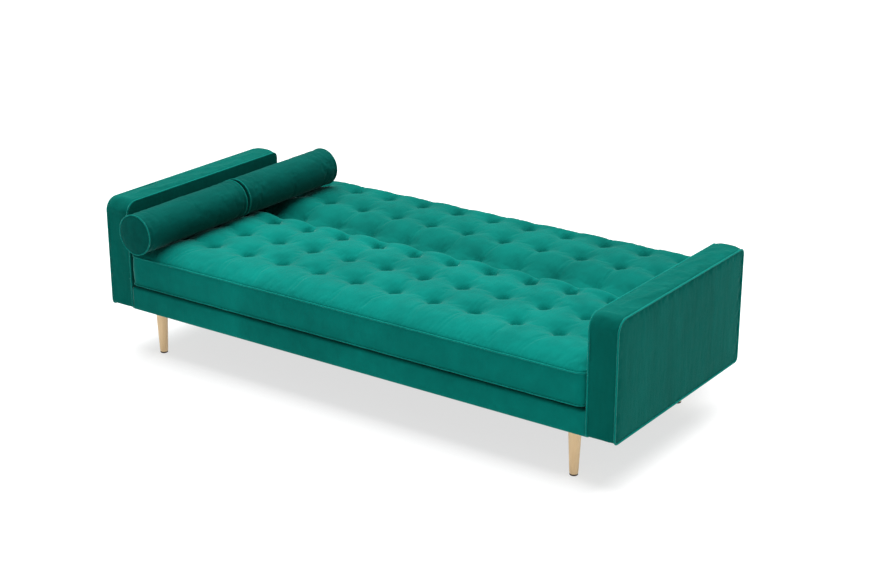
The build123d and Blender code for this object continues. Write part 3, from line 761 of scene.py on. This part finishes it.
def arm(name, node, piping_node, side):
    """One arm and its piping."""
    low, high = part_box(node)
    inner, outer = (low.x, high.x) if side > 0 else (high.x, low.x)
    line = arm_outline(low, high, 0.001)
    count = len(line)
    ahead = np.roll(line, -1, 0) - np.roll(line, 1, 0)
    normal = np.column_stack([np.zeros(count), -ahead[:, 2], ahead[:, 1]])
    normal /= np.linalg.norm(normal, axis=1)[:, None]
    crown = arm_crown * (arm_end_share + (1 - arm_end_share) * np.clip(normal[:, 2], 0, 1))
    crown = crown * (normal[:, 2] > -0.5)
    rings = []
    spine_y = np.clip(line[:, 1], low.y + 0.2, high.y - 0.2)
    spine_z = np.full(count, (low.z + high.z) / 2)
    lengths = np.arange(count) * arm_step

    def panel(x, direction, puff, seed):
        """One side's rows of points, from its seam in to its middle."""
        found = []
        for k in range(1, panel_rows + 1):
            share = panel_reach * (k / panel_rows) ** 1.35
            ring = line.copy()
            ring[:, 1] += (spine_y - line[:, 1]) * share
            ring[:, 2] += (spine_z - line[:, 2]) * share
            inset = share * 0.2
            rise = puff * (1 - math.exp(-inset / 0.02)) if inset < 0.12 else puff
            wave = 0.0006 * ripple(lengths, seed, 0.11) * math.exp(-inset / 0.05)
            wave = wave * (1 - share / panel_reach)
            ring[:, 0] = x + direction * (rise + wave)
            found.append(ring)
        return found

    for k in range(strip_rows + 1):
        share = k / strip_rows
        ring = line + normal * (crown * (1 - abs(2 * share - 1) ** 2.6) ** 0.75)[:, None]
        ring[:, 0] = inner + (outer - inner) * share
        rings.append(ring)
    outer_rings = panel(outer, side, 0.0025, 5 + side)
    inner_rings = panel(inner, -side, 0.0004, 8 + side)
    rings = [np.roll(ring, ring_start, 0) for ring in inner_rings[::-1] + rings + outer_rings]
    normal = np.roll(normal, ring_start, 0)
    piece = new_mesh(name, np.concatenate(rings), loft(len(rings), count, side < 0), shaded_arm_velvet)
    held = np.zeros((len(rings), count))
    outer_seam = panel_rows + strip_rows
    held[:panel_rows + 1] = 1.0
    held[outer_seam] = 1.0
    held[outer_seam + panel_loose_rows:] = 1.0
    held[:, normal[:, 2] < -0.8] = 1.0
    settle(piece, held.ravel(), **arm_fill)
    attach(piece, "frame")
    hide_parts(node)
    seams = []
    for x, seed in ((inner, 31), (outer, 32)):
        seam = arm_outline(low, high, 0.0002)
        seam[:, 0] = x + side * (0.0014 if x == outer else 0.0020)
        seams.append(seam)
    piping(name + "_piping", seams, True, "frame", piping_node, arm_cord_radius)


arm("left_arm", "arm_cover_left", "arm_piping_left", -1)
arm("right_arm", "arm_cover_right", "arm_piping_right", 1)

# ------------------------------------------------------------------ base rails
# Pine rails glued and screwed into a box; velvet over thin padding is stapled over the front and
# rear rails.
rail_edge_round = 0.010
rail_step = 0.008
rail_stations = 261


def rail_cover(name, node, seed):
    """Velvet stretched over a rail, with soft edges and a little slack."""
    low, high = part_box(node)
    front = low.y < 0
    face_y = low.y if front else high.y
    depth_y = high.y if front else low.y
    inward = 1 if front else -1
    radius = rail_edge_round
    cy = face_y + inward * radius
    section = []
    for cz, start in ((high.z - radius, 90), (low.z + radius, 180)):
        for k in range(7):
            turn = math.radians(start + 90 * k / 6)
            section.append((cy + inward * radius * math.cos(turn), cz + radius * math.sin(turn)))
    section = np.array([(depth_y, high.z)] + section + [(depth_y, low.z)])
    middle = []
    for a, b in zip(section[:-1], section[1:]):
        steps = max(1, round(np.linalg.norm(b - a) / rail_step))
        for k in range(steps):
            middle.append(a + (b - a) * k / steps)
    middle.append(section[-1])
    section = np.array(middle)
    xs = np.linspace(low.x, high.x, rail_stations)
    puff = np.where(np.abs(section[:, 0] - face_y) < 0.003, 1.0, 0.0)
    puff *= np.sin(math.pi * np.clip((section[:, 1] - low.z) / (high.z - low.z), 0, 1))
    points = []
    for x in xs:
        slack = 0.0010 + 0.0005 * float(ripple(np.array([x]), seed, 0.35)[0])
        end = min(1.0, (high.x - abs(x)) / 0.03)
        y = section[:, 0] - inward * puff * slack * end
        points.append(np.column_stack([np.full(len(section), x), y, section[:, 1]]))
    faces = loft(len(xs), len(section), not front)
    piece = new_mesh(name, np.concatenate(points), faces, green_velvet)
    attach(piece, "frame")
    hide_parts(node)


rail_cover("front_rail_cover", "base_front_cover", 41)
rail_cover("rear_rail_cover", "base_rear_cover", 42)

# ------------------------------------------------------------------ wood
# Pale beech legs under clear lacquer, sawn pine rails, and birch plywood slats and deck.
def wood(name, light, dark, grain, roughness, ring_scale=26.0):
    """Timber with its grain along one axis."""
    timber = Finish(name, Roughness=roughness)
    long_grain = timber.place(grain)
    rings = timber.noise(ring_scale, 4.0, long_grain, 0.6, 1.4)
    pores = timber.noise(ring_scale * 9, 2.0, long_grain)
    figure = timber.between(0.32, 0.7, rings)
    timber.colour(timber.mixed(light, dark, figure * 0.75 + 0.25 * timber.between(0.5, 0.75, pores)))
    timber.roughness(roughness + 0.15 * pores)
    timber.bumps((rings, 0.0003), (pores, 0.0002))
    return timber


leg_finish = wood("leg_beech", (0.90, 0.64, 0.35, 1), (0.74, 0.49, 0.24, 1), (1.0, 1.0, 0.10), 0.36)
leg_finish.shader.inputs["Coat Weight"].default_value = 0.25
leg_finish.shader.inputs["Coat Roughness"].default_value = 0.22
pine = wood("sawn_pine", (0.66, 0.47, 0.27, 1), (0.50, 0.32, 0.16, 1), (0.12, 1.0, 1.0), 0.62)
plywood = wood("birch_plywood", (0.74, 0.57, 0.36, 1), (0.60, 0.42, 0.24, 1), (0.9, 0.12, 1.0), 0.55)


def finish_node(material, *names):
    """Give CAD pieces their finish."""
    for name in names:
        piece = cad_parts[name]
        piece.data.materials.clear()
        piece.data.materials.append(material)


finish_node(pine.material, "base_front_rail", "base_rear_rail", "base_middle_rail", "base_side_rail_left",
            "base_side_rail_right", "slat_cleat", "corner_blocks", "arm_frame_left", "arm_frame_right",
            "back_front_rail", "back_rear_rail", "back_side_rail_left", "back_side_rail_right")
finish_node(plywood.material, "seat_slats", "seat_deck", "back_slats")

# ------------------------------------------------------------------ legs
# Turned and tapered on a lathe, with an eased foot, and screwed up into a steel plate.
leg_profile = [(0.0, 0.0), (0.94, 0.0), (0.985, 0.006), (1.0, 0.02)]
leg_taper = (29, 44)                    # the foot's radius to the top's
leg_sides = 48
leg_stations = 24


def leg(name, node):
    """One turned leg."""
    low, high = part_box(node)
    cx, cy = (low.x + high.x) / 2, (low.y + high.y) / 2
    top = (high.x - low.x) / 2
    foot = top * leg_taper[0] / leg_taper[1]
    height = high.z - low.z
    stations = [(foot * r, low.z + height * h) for r, h in leg_profile]
    stations += [(foot + (top - foot) * k / leg_stations, low.z + height * k / leg_stations)
                 for k in range(1, leg_stations)]
    stations += [(top * 0.995, high.z - 0.001), (top * 0.98, high.z), (0.0, high.z)]
    sides = leg_sides
    points = [(cx, cy, stations[0][1])]
    for r, z in stations[1:-1]:
        for k in range(sides):
            turn = 2 * math.pi * k / sides
            points.append((cx + r * math.cos(turn), cy + r * math.sin(turn), z))
    points.append((cx, cy, stations[-1][1]))
    faces = [(0, 1 + (k + 1) % sides, 1 + k) for k in range(sides)]
    rings = len(stations) - 2
    for row in range(rings - 1):
        a, b = 1 + row * sides, 1 + (row + 1) * sides
        faces += [(a + k, a + (k + 1) % sides, b + (k + 1) % sides, b + k) for k in range(sides)]
    last = 1 + (rings - 1) * sides
    faces += [(last + k, last + (k + 1) % sides, len(points) - 1) for k in range(sides)]
    piece = new_mesh(name, points, faces, leg_finish.material)
    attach(piece, "frame")
    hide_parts(node)


for corner in ("front_left", "front_right", "rear_left", "rear_right"):
    leg("turned_leg_" + corner, "leg_" + corner)

glide = Finish("glide_plastic", Roughness=0.5)
glide.colour(glide.mixed((0.045, 0.022, 0.012, 1), (0.06, 0.032, 0.02, 1), glide.noise(80.0)))
glide.bumps((glide.noise(400.0), 0.0002))
finish_node(glide.material, "leg_glides")

# ------------------------------------------------------------------ steel and plastic fittings
# Black-painted hinge plates, zinc-plated pins, pawls and screws, and nylon washers.
black_steel = Finish("black_steel", Roughness=0.45, Metallic=0.0)
black_shade = black_steel.noise(60.0)
black_steel.colour(black_steel.mixed((0.018, 0.018, 0.019, 1), (0.035, 0.035, 0.036, 1), black_shade))
black_steel.roughness(0.38 + 0.2 * black_steel.noise(140.0))
black_steel.bumps((black_steel.noise(500.0), 0.0001))
finish_node(black_steel.material, "hinge_bracket_left", "hinge_bracket_right", "hinge_plate_left",
            "hinge_plate_right", "leg_plates")
zinc = Finish("zinc_steel", Roughness=0.35, Metallic=1.0)
zinc.colour(zinc.mixed((0.55, 0.55, 0.53, 1), (0.70, 0.69, 0.66, 1), zinc.noise(45.0)))
zinc.roughness(0.28 + 0.2 * zinc.noise(200.0))
zinc.bumps((zinc.noise(300.0), 0.0001))
finish_node(zinc.material, "hinge_pin_left", "hinge_pin_right", "pawl_left", "pawl_right", "pawl_pins",
            "pawl_springs", "bracket_screws", "plate_screws", "arm_bolts", "leg_bolts")
nylon = Finish("nylon", Roughness=0.5)
nylon.colour(nylon.mixed((0.74, 0.72, 0.66, 1), (0.80, 0.78, 0.72, 1), nylon.noise(70.0)))
finish_node(nylon.material, "hinge_washers")

# ------------------------------------------------------------------ dust covers
# Black non-woven cloth stapled under the base and under the back, and felt pads on the rear rail.
lining = Finish("non_woven_cloth", Roughness=0.95)
lining_fibres = lining.noise(420.0, 3.0)
lining.colour(lining.mixed((0.012, 0.012, 0.012, 1), (0.035, 0.035, 0.036, 1), lining_fibres))
lining.bumps((lining.noise(30.0, 2.0), 0.001), (lining_fibres, 0.0003))
finish_node(lining.material, "dust_cover", "back_lining", "rest_pads")

staple_inset = 0.010
staple_spacing = 0.06
staple_tree = geometry_tree("drive_staples", {"Spacing": staple_spacing, "Crown": 0.011, "Wire": 0.0012})
staple_start = tree_node(staple_tree, "NodeGroupInput")
staple_points = tree_node(staple_tree, "GeometryNodeCurveToPoints", {"mode": "LENGTH"}, {
    "Curve": staple_start.outputs["Geometry"], "Length": staple_start.outputs["Spacing"]})
staple_size = tree_node(staple_tree, "ShaderNodeCombineXYZ", None, {
    "X": staple_start.outputs["Wire"], "Y": staple_start.outputs["Wire"], "Z": staple_start.outputs["Crown"]})
staple_bar = tree_node(staple_tree, "GeometryNodeMeshCube", None, {"Size": staple_size.outputs[0]})
staple_copies = tree_node(staple_tree, "GeometryNodeInstanceOnPoints", None, {
    "Points": staple_points.outputs["Points"], "Instance": staple_bar.outputs["Mesh"],
    "Rotation": staple_points.outputs["Rotation"]})
end_tree(staple_tree, staple_start, staple_copies.outputs[0])


def staples(name, node, body, corner):
    """A row of staples round the edge of a cloth."""
    low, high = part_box(node)
    loop = round_corners(high.x - staple_inset, low.y + staple_inset, high.y - staple_inset, corner, low.z)
    path = curve_object(name + "_path", [loop], True)
    piece = grow(name, path, staple_tree, {"Spacing": staple_spacing}, zinc.material)
    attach(piece, body)


staples("base_staples", "dust_cover", "frame", 0.010)
staples("back_staples", "back_lining", "back", 0.085)

# ------------------------------------------------------------------ bolsters
# Round velvet cushions filled with fibre, with domed and piped ends, lying end to end by the left arm.
bolster_around = 132
bolster_rows = 90
end_rings = 14
end_dome = 0.006
pucker_depth = 0.0009
bolster_fill = {"pressure": 3.0, "frames": 14, "cap": 0.0028, "slack": 0.012}


def ladder(ring):
    """Quads that close a flat ring from side to side."""
    count = len(ring)
    rungs = [(ring[i], ring[i + 1], ring[count - 2 - i], ring[count - 1 - i]) for i in range(count // 2 - 1)]
    if count % 2:
        rungs.append((ring[count // 2 - 1], ring[count // 2], ring[count // 2 + 1]))
    return rungs


def bolster(name, node, piping_node, body):
    """One bolster and the piping round its ends."""
    low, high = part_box(node)
    radius = (high.x - low.x) / 2 - 0.0005
    turn = np.linspace(0, 2 * math.pi, bolster_around, endpoint=False)
    circle = np.column_stack([np.cos(turn), np.zeros(bolster_around), np.sin(turn)])
    length = high.y - low.y
    end_sizes = []
    for k in range(end_rings, 0, -1):
        share = 1 - k / (end_rings + 0.5)
        end_sizes.append((share * radius, end_dome * (1 - share ** 2.4)))
    rings = [circle * r + np.array([bolster_x, low.y - dome, bolster_z]) for r, dome in end_sizes]
    for k in range(bolster_rows + 1):
        share = k / bolster_rows
        from_end = min(share, 1 - share) * length
        r = radius - 0.0012 * math.exp(-from_end / 0.02)
        pucker = pucker_depth * ripple(turn * radius, 51 + len(name), 0.028) * math.exp(-from_end / 0.045)
        middle = np.array([bolster_x, low.y + length * share, bolster_z])
        rings.append(circle * (r + pucker)[:, None] + middle)
    rings += [circle * r + np.array([bolster_x, high.y + dome, bolster_z]) for r, dome in end_sizes[::-1]]
    points = np.concatenate(rings)
    index = np.arange(len(points)).reshape(len(rings), bolster_around)
    faces = []
    for a, b in zip(index[:-1], index[1:]):
        faces += np.stack([a, b, np.roll(b, -1), np.roll(a, -1)], -1).tolist()
    faces += ladder(index[0].tolist())
    faces += ladder(index[-1][::-1].tolist())
    piece = new_mesh(name, points, faces, shaded_bolster_velvet)
    held = np.zeros((len(rings), bolster_around))
    held[end_rings] = 1.0
    held[end_rings + bolster_rows] = 1.0
    settle(piece, held.ravel(), **bolster_fill)
    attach(piece, body)
    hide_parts(node)
    loops = [circle * (radius - 0.0004) + np.array([bolster_x, y, bolster_z]) for y in (low.y, high.y)]
    piping(name + "_piping", loops, True, body, piping_node)


bolster("front_bolster", "bolster_front", "bolster_piping_front", "bolster_front")
bolster("rear_bolster", "bolster_rear", "bolster_piping_rear", "bolster_rear")
